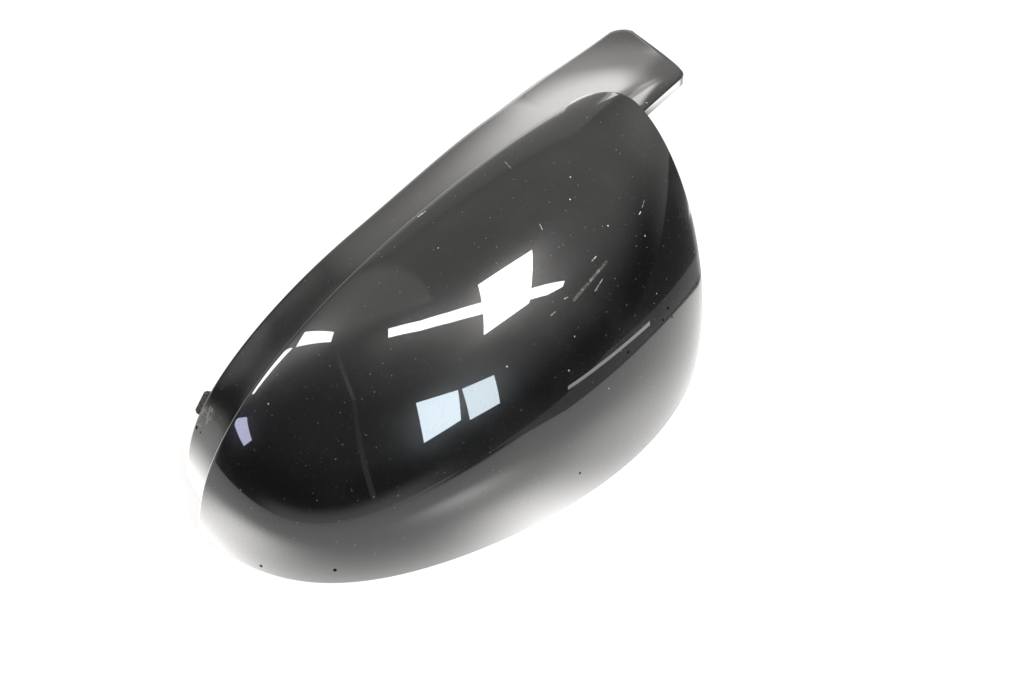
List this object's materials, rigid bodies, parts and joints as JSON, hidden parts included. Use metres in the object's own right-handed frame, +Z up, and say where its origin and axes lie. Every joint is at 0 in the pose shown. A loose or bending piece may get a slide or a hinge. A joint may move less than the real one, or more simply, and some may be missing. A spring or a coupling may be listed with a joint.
{
  "type": "wing mirror cover",
  "caption": "Gloss black wing mirror cover: a hollow teardrop shell with a sunken ledge along one edge and a flat tab at its open end.",
  "frame": {"origin": "centre of the box at the height of the rim that the cover lies on", "axes": "+X along the cover from its rounded outer tip to the tab at the open end, +Y towards the ledge, +Z up from the rim to the crest"},
  "size_m": [0.2435, 0.1216, 0.0826],
  "materials": {
    "black_paint": "black paint under a gloss clear coat on moulded plastic, dusty and lightly scratched"
  },
  "bodies": {
    "root": {"mirror_cover": "black_paint"}
  },
  "joints": []
}
